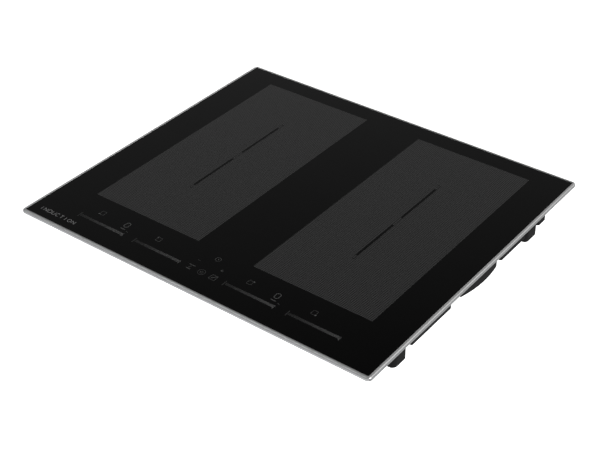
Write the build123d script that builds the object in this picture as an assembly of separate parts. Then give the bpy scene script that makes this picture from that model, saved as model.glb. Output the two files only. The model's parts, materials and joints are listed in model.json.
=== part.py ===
from build123d import *
import math
import os

# ---------------------------------------------------------------------------
# Built-in induction cooktop, 60 cm class.  Millimetres, +Z up, front edge at -Y.
# Origin: centre of the footprint, at the lowest face of the base tray.
# ---------------------------------------------------------------------------

# overall size
OUTER_W = 590.0
OUTER_D = 520.0
HEIGHT = 58.0
OUTER_CORNER_R = 6.0

# glass and trim, from the top down
LIP_T = 0.4
LIP_W = 4.3
GLASS_T = 4.0
FLANGE_T = 0.8
TRIM_WALL = 2.8
TRIM_ROUND = 2.4
FLANGE_W = 11.0
GLASS_FIT = 0.2
GLASS_STEP = 0.5
GLASS_TOP = HEIGHT - LIP_T
GLASS_BOTTOM = GLASS_TOP - GLASS_T
TRIM_BOTTOM = GLASS_BOTTOM - FLANGE_T
GLASS_W = OUTER_W - 2 * (TRIM_WALL + GLASS_FIT)
GLASS_D = OUTER_D - 2 * (TRIM_WALL + GLASS_FIT)

# rubber worktop seal under the trim
SEAL_T = 2.0
SEAL_W = 6.0
SEAL_INSET = 4.5

# base tray
WALL = 2.4
TRAY_W = 545.0
TRAY_D = 486.0
TRAY_CORNER_R = 14.0
BOND_T = 1.0
BOND_W = 5.6
RIM_W = 8.0
RIM_TOP = GLASS_BOTTOM - BOND_T
SHELF_Z = 18.0
FRONT_LIP_Z = 37.0
FRONT_SLOPE_Y = -214.0
BACK_LIP_Z = 25.0
TUB_HALF_W = 258.0
TUB_FRONT = -196.0
TUB_BACK = 218.0
TUB_R = 16.0
TUB_ROUND = 3.0
LOBE_ROOT = 18.0
SCROLL_X = 75.5
SCROLL_Y = 50.0
SCROLL_R = 196.8
SCROLL_FRONT = -1.5
SCROLL_BACK = 88.0
SCROLL_END_R = 3.0
SCROLL_ROUND = 1.6

# swellings along each flank: front end, back end, lowest face, reach past the wall,
# corner radius, bottom edge
FLANK_BLOCKS = [
    (-175.0, -143.5, 0.0, 1.8, 8.0, 2.0),
    (-132.0, -37.0, 9.6, 0.0, 2.6, 0.8),
    (92.0, 166.0, 8.4, 0.0, 2.6, 0.8),
    (158.0, 188.5, 0.0, 2.8, 6.0, 2.0),
    (198.0, 219.5, 6.2, 0.0, 4.0, 1.5),
]

# relief pressed into the underside
BEAD_DEPTH = 0.8
BEAD_W = 6.0
BEAD_XS = (-60.0, -36.0, -12.0, 12.0, 36.0, 60.0)
BEAD_Y0 = -40.0
BEAD_Y1 = 120.0
LABEL_W = 110.0
LABEL_D = 56.0
LABEL_Y = -136.0
LABEL_DEPTH = 0.4

# air intake and outlet
FAN_X = 214.0
FAN_Y = 47.0
GRILLE_R = 34.0
GRILLE_SLOT = 3.2
GRILLE_PITCH = 6.4
VENT_SLOT_W = 4.0
VENT_PITCH = 10.0
VENT_COUNT = 21

# mains terminal pocket in the rear left of the tray
POCKET_X0 = -214.0
POCKET_X1 = -124.0
POCKET_Y0 = 140.0
POCKET_TOP = 28.0
CABLE_HOLE_X = -150.0
CABLE_HOLE_Z = 9.5
CABLE_HOLE_R = 7.0
LID_GAP = 0.4
LID_T = 2.0
LID_Z = 0.6
HINGE_Y = 146.0
HINGE_Z = 3.2
HINGE_PIN_R = 1.5
HINGE_HOLE_R = 1.55
HINGE_BARREL_R = 2.3
HINGE_EAR_R = 2.6
HINGE_EAR_T = 4.0
HINGE_TAB = 5.0
HINGE_XS = (-200.0, -138.0)

# side holes for the worktop brackets
BRACKET_HOLE_R = 1.6
BRACKET_Y = -20.0
BRACKET_SPACING = 40.0
BRACKET_Z = 42.0

# coil deck
DECK_Z = 38.0
DECK_T = 1.2
DECK_W = 534.0
DECK_FRONT = -178.0
DECK_BACK = 237.0
DECK_POST_X = 262.0
DECK_POST_FEET = {-140.0: 19.0, -24.0: 19.0, 118.0: 9.4, 228.0: 19.0}
DECK_POSTS = [(x, y) for x in (-DECK_POST_X, DECK_POST_X) for y in DECK_POST_FEET]
POST_R = 4.5
SCREW_R = 1.5
SCREW_HOLE_R = 1.6
SCREW_HEAD_R = 3.0
SCREW_HEAD_T = 2.2

# induction coils: four rounded-square windings, two under each long zone
COIL_X = 142.0
ZONE_MID_Y = 27.4
COIL_HALF_STEP = 98.7
COIL_W = 178.0
COIL_D = 184.0
COIL_R = 52.0
COIL_HOLE = 52.0
TURN_PITCH = 4.2
WIND_T = 3.6
CARRIER_T = 2.0
FERRITE_T = 4.0
MAT_T = 1.0
PAD_R = 6.0
SENSOR_R = 6.0

# boards
BOARD_T = 1.6
BOARD_Z = 6.4
BOARD_X0 = 30.0
BOARD_X1 = 154.0
BOARD_Y0 = -58.0
BOARD_Y1 = 118.0

# leads inside the case
LUG_XS = (87.5, 96.5)
LUG_FRONT_Y = -48.0
LUG_BACK_Y = 112.0
LUG_TOP = 17.0
LEAD_FRONT_Y = -81.0
LEAD_R = 1.4
MAINS_LEAD_R = 3.0

# blower
FAN_Z0 = WALL
FAN_H = 26.0
FAN_R = 49.0
FAN_SKIN = 1.8
WHEEL_R = 40.0
BLADES = 34
DUCT_X = 158.0
DUCT_D = 36.0

# touch control
TOUCH_Y = -214.0
TOUCH_W = 476.0
TOUCH_D = 42.0
TOUCH_BOARD_Z = 46.0
CARRIER_Z = 41.6
SLIDER_Y = -219.5
SLIDER_XS = (-181.4, -79.0, 79.0, 181.4)
SLIDER_L = 85.0

CORNERS = [
    ("front_left", -1, -1),
    ("front_right", 1, -1),
    ("rear_left", -1, 1),
    ("rear_right", 1, 1),
]


# ---------------------------------------------------------------------------
# small helpers
# ---------------------------------------------------------------------------
def block(x0, x1, y0, y1, z0, z1):
    """Plain box between two corners."""
    return Pos((x0 + x1) / 2, (y0 + y1) / 2, (z0 + z1) / 2) * Box(x1 - x0, y1 - y0, z1 - z0)


def rounded(x0, x1, y0, y1, z0, z1, r):
    """Box with rounded vertical edges."""
    outline = RectangleRounded(x1 - x0, y1 - y0, r)
    return Pos((x0 + x1) / 2, (y0 + y1) / 2, z0) * extrude(outline, z1 - z0)


def centred(w, d, z0, z1, r):
    """Rounded box centred on the Z axis."""
    return rounded(-w / 2, w / 2, -d / 2, d / 2, z0, z1, r)


def disc(x, y, z0, z1, r):
    """Upright cylinder."""
    return Pos(x, y, (z0 + z1) / 2) * Cylinder(r, z1 - z0)


def rod_x(x0, x1, y, z, r):
    """Cylinder lying along X."""
    return Pos((x0 + x1) / 2, y, z) * Rot(0, 90, 0) * Cylinder(r, x1 - x0)


def rod_y(y0, y1, x, z, r):
    """Cylinder lying along Y."""
    return Pos(x, (y0 + y1) / 2, z) * Rot(90, 0, 0) * Cylinder(r, y1 - y0)


def group(solids):
    """Separate solids kept together in one node."""
    return Compound(children=list(solids))


def mirrored(shape, side):
    """The right-hand shape, or its mirror image for the left-hand side."""
    return shape if side > 0 else mirror(shape, about=Plane.YZ)


def save(node, shape):
    export_step(shape, f"parts/{node}.step")


def screw(x, y, z, length):
    """Pan-head screw with a cross recess; z is the face under its head."""
    head = disc(0, 0, 0, SCREW_HEAD_T, SCREW_HEAD_R)
    head = chamfer(head.faces().sort_by(Axis.Z)[-1].edges(), 0.7)
    body = head + disc(0, 0, -length, 0, SCREW_R)
    slot = Box(3.2, 0.7, 2.0) + Box(0.7, 3.2, 2.0)
    body = body - Pos(0, 0, SCREW_HEAD_T) * slot
    return Pos(x, y, z) * body


# ---------------------------------------------------------------------------
# glass, trim and seals
# ---------------------------------------------------------------------------
def glass_plate():
    """Glass-ceramic plate with a ground step round its top edge, which the trim's lip covers."""
    plate = centred(GLASS_W, GLASS_D, GLASS_BOTTOM, GLASS_TOP - GLASS_STEP, OUTER_CORNER_R - TRIM_WALL)
    plate = chamfer(plate.faces().sort_by(Axis.Z)[0].edges(), 0.4)
    sight_w = OUTER_W - 2 * LIP_W - GLASS_FIT
    sight_d = OUTER_D - 2 * LIP_W - GLASS_FIT
    return plate + centred(sight_w, sight_d, GLASS_TOP - GLASS_STEP, GLASS_TOP, 2.0)


def trim_frame():
    """One-piece aluminium section round the glass: thin lip, rounded shoulder, lower flange."""
    outer = centred(OUTER_W, OUTER_D, TRIM_BOTTOM, HEIGHT, OUTER_CORNER_R)
    outer = fillet(outer.faces().sort_by(Axis.Z)[-1].edges(), TRIM_ROUND)
    seat = centred(OUTER_W - 2 * TRIM_WALL, OUTER_D - 2 * TRIM_WALL,
                   GLASS_BOTTOM, GLASS_TOP - GLASS_STEP, OUTER_CORNER_R - TRIM_WALL)
    sight = centred(OUTER_W - 2 * LIP_W, OUTER_D - 2 * LIP_W, GLASS_BOTTOM, HEIGHT + 1, 2.0)
    under = centred(OUTER_W - 2 * FLANGE_W, OUTER_D - 2 * FLANGE_W,
                    TRIM_BOTTOM - 1, GLASS_BOTTOM, 3.0)
    return outer - seat - sight - under


def worktop_seal():
    w = OUTER_W - 2 * SEAL_INSET
    d = OUTER_D - 2 * SEAL_INSET
    ring = centred(w, d, TRIM_BOTTOM - SEAL_T, TRIM_BOTTOM, 4.0)
    hole = centred(w - 2 * SEAL_W, d - 2 * SEAL_W, TRIM_BOTTOM - SEAL_T - 1, TRIM_BOTTOM + 1, 2.0)
    return ring - hole


def glass_bond():
    w = TRAY_W - 2.0
    d = TRAY_D - 2.0
    ring = centred(w, d, RIM_TOP, GLASS_BOTTOM, TRAY_CORNER_R - 1)
    hole = centred(w - 2 * BOND_W, d - 2 * BOND_W, RIM_TOP - 1, GLASS_BOTTOM + 1, 7.0)
    return ring - hole


# ---------------------------------------------------------------------------
# base tray
# ---------------------------------------------------------------------------
def soft_block(x0, x1, y0, y1, z0, z1, r, edge):
    """Rounded box whose bottom edge is chamfered, as a moulded foot is."""
    shape = rounded(x0, x1, y0, y1, z0, z1, r)
    return chamfer(shape.faces().sort_by(Axis.Z)[0].edges(), edge)


def flank_lobes(t):
    """Moulded swellings along the right flank, each set in by t."""
    side = TRAY_W / 2 - t
    root = TUB_HALF_W - LOBE_ROOT
    top = SHELF_Z + 8.0
    lobes = []
    for y0, y1, z0, reach, r, edge in FLANK_BLOCKS:
        lobes.append(soft_block(root, side + reach, y0 + t, y1 - t, z0 + t, top, r, edge))
    ends = block(root, side + t, SCROLL_FRONT + t, SCROLL_BACK - t, t, top)
    scroll = disc(SCROLL_X, SCROLL_Y, t, top, SCROLL_R - t) & ends
    scroll = fillet(scroll.edges().filter_by(Axis.Z).sort_by(Axis.X)[-2:], SCROLL_END_R)
    lobes.append(chamfer(scroll.faces().sort_by(Axis.Z)[0].edges(), SCROLL_ROUND))
    return lobes


def tray_volume(t):
    """Filled outer form of the tray with every face moved inwards by t."""
    half_w = TRAY_W / 2 - t
    half_d = TRAY_D / 2 - t
    side_view = Polyline((-half_d, RIM_TOP), (-half_d, FRONT_LIP_Z + t), (FRONT_SLOPE_Y, SHELF_Z + t),
                         (half_d - 7, SHELF_Z + t), (half_d, BACK_LIP_Z + t), (half_d, RIM_TOP), close=True)
    upper = extrude(Plane.YZ * make_face(side_view), half_w, both=True)
    upper = upper & centred(2 * half_w, 2 * half_d, 0, HEIGHT, TRAY_CORNER_R - t)
    tub = rounded(-TUB_HALF_W + t, TUB_HALF_W - t, TUB_FRONT + t, TUB_BACK - t, t, SHELF_Z + 9, TUB_R - t)
    tub = chamfer(tub.faces().sort_by(Axis.Z)[0].edges(), TUB_ROUND)
    volume = upper + tub
    for lobe in flank_lobes(t):
        volume = volume + lobe + mirror(lobe, about=Plane.YZ)
    return volume


def intake_slots(x):
    """Parallel slots that fill a disc under one blower."""
    steps = int(GRILLE_R // GRILLE_PITCH)
    slots = []
    for i in range(-steps, steps + 1):
        offset = i * GRILLE_PITCH
        half = math.sqrt(GRILLE_R ** 2 - offset ** 2)
        slots.append(rounded(x + offset - GRILLE_SLOT / 2, x + offset + GRILLE_SLOT / 2,
                             FAN_Y - half, FAN_Y + half, -1, WALL + 1, GRILLE_SLOT / 2 - 0.05))
    return slots


def underside_relief():
    """Stiffening beads and a shallow flat for the rating label, sunk into the tub's floor."""
    cuts = [rounded(x - BEAD_W / 2, x + BEAD_W / 2, BEAD_Y0, BEAD_Y1, -1, BEAD_DEPTH, BEAD_W / 2 - 0.05)
            for x in BEAD_XS]
    label = Pos(0, LABEL_Y, 0) * centred(LABEL_W, LABEL_D, -1, LABEL_DEPTH, 4.0)
    return cuts + [label]


def rear_vents():
    """Upright outlet slots in the rear wall."""
    first = -VENT_PITCH * (VENT_COUNT - 1) / 2
    xs = [first + i * VENT_PITCH for i in range(VENT_COUNT)]
    y0 = TRAY_D / 2 - WALL - 1
    return [block(x - VENT_SLOT_W / 2, x + VENT_SLOT_W / 2, y0, y0 + WALL + 3, 28, 45) for x in xs]


def board_posts():
    """Places of the posts under the power boards and the filter board."""
    near = [(x, y) for x in (BOARD_X0 + 6, BOARD_X1 - 6) for y in (BOARD_Y0 + 6, BOARD_Y1 - 6)]
    both = near + [(-x, y) for x, y in near]
    return both + [(x, y) for x in (-84.0, 84.0) for y in (-170.0, -76.0)]


def touch_posts():
    return [(x, TOUCH_Y + 12.0) for x in (-226.0, -31.0, 31.0, 226.0)]


def hinge_ears():
    """Two pairs of ears on the pocket's front wall that carry the cover's pins."""
    ears = []
    for x in HINGE_XS:
        for side in (-1, 1):
            x0 = x + HINGE_TAB + 0.4 if side > 0 else x - HINGE_TAB - 0.4 - HINGE_EAR_T
            x1 = x0 + HINGE_EAR_T
            web = block(x0, x1, POCKET_Y0 + WALL - 0.5, HINGE_Y,
                        HINGE_Z - HINGE_EAR_R, HINGE_Z + HINGE_EAR_R)
            ears.append(web + rod_x(x0, x1, HINGE_Y, HINGE_Z, HINGE_EAR_R))
    return ears


def base_tray():
    tray = tray_volume(0)
    tray = tray - (tray_volume(WALL) & block(-300, 300, -300, 300, 0, RIM_TOP - WALL))
    tray = tray - centred(TRAY_W - 2 * RIM_W, TRAY_D - 2 * RIM_W, RIM_TOP - WALL - 1, HEIGHT, 8.0)

    pocket = block(POCKET_X0, POCKET_X1, POCKET_Y0, TUB_BACK - 1, 0, POCKET_TOP)
    tray = tray + (pocket & rounded(-TUB_HALF_W, TUB_HALF_W, TUB_FRONT, TUB_BACK, 0, POCKET_TOP, TUB_R))
    tray = tray - block(POCKET_X0 + WALL, POCKET_X1 - WALL, POCKET_Y0 + WALL, TUB_BACK - WALL,
                        -1, POCKET_TOP - WALL)
    tray = tray - rod_y(POCKET_Y0 - 1, POCKET_Y0 + WALL + 1, -140, 19, MAINS_LEAD_R + 0.2)
    for ear in hinge_ears():
        tray = tray + ear
    tray = tray - rod_x(min(HINGE_XS) - 12, max(HINGE_XS) + 12, HINGE_Y, HINGE_Z, HINGE_HOLE_R)
    tray = tray - rod_y(TUB_BACK - WALL - 1, TUB_BACK + 1, CABLE_HOLE_X, CABLE_HOLE_Z, CABLE_HOLE_R)

    for x, y in DECK_POSTS:
        tray = tray + disc(x, y, DECK_POST_FEET[y], DECK_Z, POST_R)
        tray = tray - disc(x, y, DECK_Z - 9, DECK_Z + 1, SCREW_HOLE_R)
    for x, y in board_posts():
        tray = tray + disc(x, y, 1, BOARD_Z, 4.0) - disc(x, y, 2.6, BOARD_Z + 1, SCREW_HOLE_R)
    for x, y in touch_posts():
        tray = tray + disc(x, y, SHELF_Z + 1, CARRIER_Z, 4.0)
        tray = tray - disc(x, y, CARRIER_Z - 8, CARRIER_Z + 1, SCREW_HOLE_R)

    for side in (-1, 1):
        for slot in intake_slots(side * FAN_X):
            tray = tray - slot
        for y in (BRACKET_Y - BRACKET_SPACING / 2, BRACKET_Y + BRACKET_SPACING / 2):
            x0 = side * (TRAY_W / 2 - WALL / 2)
            tray = tray - rod_x(x0 - 3, x0 + 3, y, BRACKET_Z, BRACKET_HOLE_R)
    for cut in rear_vents() + underside_relief():
        tray = tray - cut
    return tray


def terminal_cover():
    """Lid of the terminal pocket, hinged on two pairs of stub pins along its front edge."""
    x0 = POCKET_X0 + WALL + LID_GAP
    x1 = POCKET_X1 - WALL - LID_GAP
    y1 = TUB_BACK - WALL - LID_GAP
    lid = rounded(x0, x1, HINGE_Y + 3.4, y1, LID_Z, LID_Z + LID_T, 1.5)
    for x in HINGE_XS:
        lid = lid + block(x - HINGE_TAB, x + HINGE_TAB, HINGE_Y, HINGE_Y + 5, LID_Z, LID_Z + LID_T)
        lid = lid + rod_x(x - HINGE_TAB, x + HINGE_TAB, HINGE_Y, HINGE_Z, HINGE_BARREL_R)
        pin = HINGE_TAB + HINGE_EAR_T
        lid = lid + rod_x(x - pin, x + pin, HINGE_Y, HINGE_Z, HINGE_PIN_R)
    for i in range(5):
        y = HINGE_Y + 12 + i * 11
        lid = lid + block(x0 + 6, x1 - 6, y, y + 1.2, LID_Z + LID_T - 0.5, LID_Z + LID_T + 1.2)
    grip = rounded((x0 + x1) / 2 - 12, (x0 + x1) / 2 + 12, y1 - 9, y1 - 4, LID_Z - 1, LID_Z + 0.8, 2.0)
    return lid - grip


def terminal_block():
    """Five-way screw terminal fixed to the roof of the pocket, screws facing down."""
    top = POCKET_TOP - WALL
    body = block(-206, -156, 164, 190, 13.0, top)
    for i in range(5):
        x = -201 + i * 10
        body = body - disc(x, 171, 12, 19, 3.4)
        body = body - disc(x, 183, 12, 19, 3.4)
        if i < 4:
            body = body - block(x + 4.6, x + 5.4, 163, 191, 12, 18)
        body = body - rod_y(186, 191, x, 21, 2.2)
    return body


def terminal_screws():
    screws = []
    for i in range(5):
        for y in (171, 183):
            head = disc(-201 + i * 10, y, 16.6, 18.99, 3.0)
            slot = block(-204 + i * 10, -198 + i * 10, y - 0.5, y + 0.5, 16, 17.6)
            screws.append(head - slot)
    return group(screws)


# ---------------------------------------------------------------------------
# coil deck and coils
# ---------------------------------------------------------------------------
def coil_centre(side_x, side_y):
    return side_x * COIL_X, ZONE_MID_Y + side_y * COIL_HALF_STEP


def coil_deck():
    """Aluminium sheet that carries the four coils, with turned-down stiffening edges."""
    top = DECK_Z + DECK_T
    deck = rounded(-DECK_W / 2, DECK_W / 2, DECK_FRONT, DECK_BACK, DECK_Z, top, 8.0)
    for y in (DECK_FRONT, DECK_BACK - DECK_T):
        deck = deck + block(-DECK_W / 2 + 30, DECK_W / 2 - 30, y, y + DECK_T, DECK_Z - 7, DECK_Z + 0.5)
    for x, y in DECK_POSTS:
        deck = deck - disc(x, y, DECK_Z - 1, top + 1, SCREW_HOLE_R)
    for _, sx, sy in CORNERS:
        x, y = coil_centre(sx, sy)
        deck = deck - disc(x, y, DECK_Z - 1, top + 1, 24.0)
        for turn in (-1, 1):
            mid = x + turn * 50
            deck = deck - rounded(mid - 7, mid + 7, y - 16, y + 16, DECK_Z - 1, top + 1, 6.0)
    for y in (-150.0, -60.0, 90.0, 190.0):
        deck = deck - rounded(-20, 20, y - 5, y + 5, DECK_Z - 1, top + 1, 4.5)
    return deck


def coil_carrier(x, y):
    """Moulded plate under one winding, with a sleeve for the sensor and pads at its corners."""
    z1 = GLASS_BOTTOM - MAT_T - WIND_T
    z0 = z1 - CARRIER_T
    plate = rounded(x - COIL_W / 2, x + COIL_W / 2, y - COIL_D / 2, y + COIL_D / 2, z0, z1, COIL_R)
    for dx in (-1, 1):
        for dy in (-1, 1):
            arm_x = x + dx * (COIL_W / 2 - 14)
            arm_y = y + dy * (COIL_D / 2 - 14)
            plate = plate + disc(arm_x, arm_y, z0, z1, 12.0)
    plate = plate + disc(x, y, z1 - 0.5, z1 + 3.0, 10.0)
    plate = plate - disc(x, y, z0 - 1, z1 + 4, SENSOR_R + 0.2)
    return plate


def coil_winding(x, y):
    """Flat rounded-square winding with a groove between its turns on the top face."""
    z1 = GLASS_BOTTOM - MAT_T
    z0 = z1 - WIND_T
    w = COIL_W - 6
    d = COIL_D - 6
    place = Pos(x, y, 0)
    hole_w = COIL_HOLE
    hole_d = COIL_HOLE + d - w
    ring = centred(w, d, z0, z1, COIL_R - 3) - centred(hole_w, hole_d, z0 - 1, z1 + 1, 20.0)
    turns = int((w - hole_w) / 2 / TURN_PITCH)
    for i in range(1, turns):
        inset = i * TURN_PITCH
        r = COIL_R - 3 - inset * (COIL_R - 23) / (turns * TURN_PITCH)
        rim = centred(w - 2 * inset, d - 2 * inset, z1 - 0.9, z1 + 1, r)
        core = centred(w - 2 * inset - 1.2, d - 2 * inset - 1.2, z1 - 0.9, z1 + 1, r - 0.6)
        ring = ring - (rim - core)
    return place * ring


def ferrite_bars(x, y):
    """Eight bars laid like spokes under the carrier."""
    z1 = GLASS_BOTTOM - MAT_T - WIND_T - CARRIER_T
    bars = []
    for i in range(8):
        bar = Pos(54, 0, z1 - FERRITE_T / 2) * Box(56, 14, FERRITE_T)
        bars.append(Pos(x, y, 0) * Rot(0, 0, i * 45) * bar)
    return group(bars)


def insulation_mat(x, y):
    sheet = rounded(x - 92, x + 92, y - 95, y + 95, GLASS_BOTTOM - MAT_T, GLASS_BOTTOM, 14.0)
    return sheet - disc(x, y, GLASS_BOTTOM - MAT_T - 1, GLASS_BOTTOM + 1, SENSOR_R + 0.6)


def temperature_sensors():
    """Sensor capsules, one in the middle of each coil, pressed against the glass."""
    z0 = GLASS_BOTTOM - MAT_T - WIND_T - CARRIER_T - 3
    capsules = []
    for _, sx, sy in CORNERS:
        x, y = coil_centre(sx, sy)
        capsules.append(disc(x, y, z0, GLASS_BOTTOM, SENSOR_R) + disc(x, y, z0 - 2, z0 + 0.5, 3.5))
    return group(capsules)


def coil_pads():
    """Silicone feet, four under each carrier."""
    z0 = DECK_Z + DECK_T
    z1 = GLASS_BOTTOM - MAT_T - WIND_T - CARRIER_T
    pads = []
    for _, sx, sy in CORNERS:
        x, y = coil_centre(sx, sy)
        for dx in (-1, 1):
            for dy in (-1, 1):
                px = x + dx * (COIL_W / 2 - 14)
                py = y + dy * (COIL_D / 2 - 14)
                pads.append(disc(px, py, z0, z1, PAD_R) - disc(px, py, z0 - 1, z1 - 2, 2.6))
    return group(pads)


# ---------------------------------------------------------------------------
# power electronics
# ---------------------------------------------------------------------------
def power_board(side):
    board = rounded(BOARD_X0, BOARD_X1, BOARD_Y0, BOARD_Y1, BOARD_Z, BOARD_Z + BOARD_T, 2.0)
    for x, y in board_posts()[:4]:
        board = board - disc(x, y, BOARD_Z - 1, BOARD_Z + 4, SCREW_HOLE_R)
    return mirrored(board, side)


def heat_sink(side):
    """Extrusion with an upright back and six fins in the blower's outlet air."""
    z0 = BOARD_Z + BOARD_T
    y0 = FAN_Y - FAN_R + 2
    sink = block(44, 150, y0, y0 + 4, z0, z0 + 27)
    for i in range(6):
        z = z0 + 1 + i * 4.9
        sink = sink + block(44, 150, y0 + 3.5, y0 + 33, z, z + 1.5)
    return mirrored(sink, side)


def power_transistors(side):
    """Four flat power packages against the heat sink, legs down to the board."""
    z0 = BOARD_Z + BOARD_T
    y1 = FAN_Y - FAN_R + 2
    packages = []
    for i in range(4):
        x = 58 + i * 26
        body = block(x - 8, x + 8, y1 - 5, y1, z0 + 5, z0 + 25)
        body = body - rod_y(y1 - 6, y1 + 1, x, z0 + 21, 1.8)
        for leg in (-5.4, 0, 5.4):
            body = body + block(x + leg - 0.6, x + leg + 0.6, y1 - 3, y1 - 2, z0, z0 + 6)
        packages.append(body)
    return mirrored(group(packages), side)


def film_capacitors(side):
    """Boxed resonance and smoothing capacitors on one power board."""
    z0 = BOARD_Z + BOARD_T
    sizes = [(48, 62, 32, 18, 24), (84, 62, 32, 18, 24), (122, 62, 32, 18, 24),
             (52, 88, 40, 20, 26), (104, 88, 40, 20, 26)]
    boxes = []
    for x, y, w, d, h in sizes:
        can = rounded(x - w / 2, x + w / 2, y - d / 2, y + d / 2, z0, z0 + h, 1.5)
        boxes.append(chamfer(can.faces().sort_by(Axis.Z)[-1].edges(), 0.8))
    return mirrored(group(boxes), side)


def choke(side):
    """Toroidal choke: a wound ring standing flat on the board."""
    z0 = BOARD_Z + BOARD_T
    ring = disc(70, -34, z0, z0 + 14, 17) - disc(70, -34, z0 - 1, z0 + 15, 7)
    for i in range(20):
        groove = Pos(70, -34, z0 + 7) * Rot(0, 0, i * 18) * Pos(17.4, 0, 0) * Box(1.6, 1.6, 16)
        ring = ring - groove
    return mirrored(ring, side)


def coil_connectors():
    """Screw lugs where the coil leads meet the boards, two for each coil."""
    z0 = BOARD_Z + BOARD_T
    lugs = []
    for x, y in ((x, y) for y in (LUG_FRONT_Y, LUG_BACK_Y) for x in LUG_XS):
        lug = block(x - 4, x + 4, y - 4, y + 4, z0, LUG_TOP)
        lug = lug - block(x - 2.6, x + 2.6, y - 5, y + 5, z0 + 2, LUG_TOP - 2)
        lugs.append(lug)
        lugs.append(mirror(lug, about=Plane.YZ))
    return group(lugs)


def tube(points, bend, r):
    """Round lead along straight runs joined by tangent arcs."""
    path = FilletPolyline(*points, radius=bend)
    return sweep(Plane(origin=path @ 0, z_dir=path % 0) * Circle(r), path=path)


def coil_leads():
    """Two leads from each coil, down through the deck to the board lugs."""
    top = GLASS_BOTTOM - MAT_T - WIND_T - CARRIER_T
    leads = []
    for x in LUG_XS:
        front = [(x, LEAD_FRONT_Y, top), (x, LEAD_FRONT_Y, 25),
                 (x, LUG_FRONT_Y, 25), (x, LUG_FRONT_Y, LUG_TOP)]
        leads.append(tube(front, 5.0, LEAD_R))
        leads.append(disc(x, LUG_BACK_Y + 2, LUG_TOP, top, LEAD_R))
    return group(leads + [mirror(lead, about=Plane.YZ) for lead in leads])


def mains_lead():
    """Sheathed lead from the terminal block, out of the pocket and forward to the filter board."""
    z = 19.0
    points = [(-156, 172, z), (-140, 172, z), (-140, 129, z), (0, 129, z), (0, -70, z)]
    plug = block(-9, 9, -84, -70, BOARD_Z + BOARD_T, z + 5)
    return tube(points, 7.0, MAINS_LEAD_R) + plug


def filter_board():
    board = rounded(-92, 92, -178, -68, BOARD_Z, BOARD_Z + BOARD_T, 2.0)
    for x, y in board_posts()[8:]:
        board = board - disc(x, y, BOARD_Z - 1, BOARD_Z + 4, SCREW_HOLE_R)
    return board


def mains_choke():
    """Common-mode choke: a squared ring core with two windings on a base."""
    z0 = BOARD_Z + BOARD_T
    core = rounded(-62, -14, -150, -104, z0 + 2, z0 + 22, 6.0)
    core = core - rounded(-48, -28, -136, -118, z0, z0 + 24, 3.0)
    base = block(-64, -12, -152, -102, z0, z0 + 2)
    return core + base


def filter_capacitors():
    z0 = BOARD_Z + BOARD_T
    cans = []
    for x, y, w, d, h in ((10, -140, 30, 14, 22), (10, -112, 30, 14, 22), (52, -96, 24, 12, 18)):
        can = rounded(x - w / 2, x + w / 2, y - d / 2, y + d / 2, z0, z0 + h, 1.5)
        cans.append(chamfer(can.faces().sort_by(Axis.Z)[-1].edges(), 0.8))
    return group(cans)


def mains_relay():
    z0 = BOARD_Z + BOARD_T
    return chamfer(block(42, 72, -150, -122, z0, z0 + 21).faces().sort_by(Axis.Z)[-1].edges(), 1.0)


def board_screws():
    return group(screw(x, y, BOARD_Z + BOARD_T, 4.5) for x, y in board_posts())


def deck_screws():
    return group(screw(x, y, DECK_Z + DECK_T, 8.0) for x, y in DECK_POSTS)


# ---------------------------------------------------------------------------
# blowers
# ---------------------------------------------------------------------------
def fan_housing(side):
    """Scroll case, open below for the intake and towards the middle for the outlet."""
    z0 = FAN_Z0
    z1 = FAN_Z0 + FAN_H
    front = FAN_Y - FAN_R
    case = disc(FAN_X, FAN_Y, z0, z1, FAN_R) + block(DUCT_X, FAN_X, front, front + DUCT_D, z0, z1)
    hollow = disc(FAN_X, FAN_Y, z0 + FAN_SKIN, z1 - FAN_SKIN, FAN_R - FAN_SKIN)
    hollow = hollow + block(DUCT_X - 1, FAN_X, front + FAN_SKIN, front + DUCT_D - FAN_SKIN,
                            z0 + FAN_SKIN, z1 - FAN_SKIN)
    case = case - hollow - disc(FAN_X, FAN_Y, z0 - 1, z0 + FAN_SKIN + 1, 32.0)
    return mirrored(case, side)


def fan_motor(side):
    """Outer-rotor motor's fixed core hanging from the case roof, with its shaft."""
    z1 = FAN_Z0 + FAN_H - FAN_SKIN
    core = disc(FAN_X, FAN_Y, z1 - 2, z1, 18.0) + disc(FAN_X, FAN_Y, z1 - 11, z1 - 1.5, 13.5)
    for i in range(9):
        slot = Pos(FAN_X, FAN_Y, z1 - 6.5) * Rot(0, 0, i * 40) * Pos(12.5, 0, 0) * Box(5, 1.6, 7)
        core = core - slot
    return mirrored(core + disc(FAN_X, FAN_Y, z1 - 18, z1 - 10, 2.0), side)


def fan_wheel(side):
    """Blower wheel: hub cup, roof ring, forward-leaning blades and an intake ring."""
    z1 = FAN_Z0 + FAN_H - FAN_SKIN
    roof = z1 - 3.0
    cup = disc(FAN_X, FAN_Y, z1 - 16, roof, 17.0) - disc(FAN_X, FAN_Y, z1 - 14, roof + 1, 15.0)
    cup = cup - disc(FAN_X, FAN_Y, z1 - 19, roof, 2.05)
    plate = disc(FAN_X, FAN_Y, roof - 1.4, roof, WHEEL_R) - disc(FAN_X, FAN_Y, roof - 2, roof + 1, 16.0)
    wheel = cup + plate
    low = FAN_Z0 + FAN_SKIN + 1.2
    for i in range(BLADES):
        blade = Pos(FAN_X, FAN_Y, 0) * Rot(0, 0, i * 360 / BLADES) * Pos(35.2, 0, (low + roof - 1) / 2)
        wheel = wheel + blade * Rot(0, 0, 32) * Box(8.6, 0.9, roof - 1 - low)
    ring = disc(FAN_X, FAN_Y, low, low + 1.6, WHEEL_R) - disc(FAN_X, FAN_Y, low - 1, low + 3, 36.5)
    return mirrored(wheel + ring, side)


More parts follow.
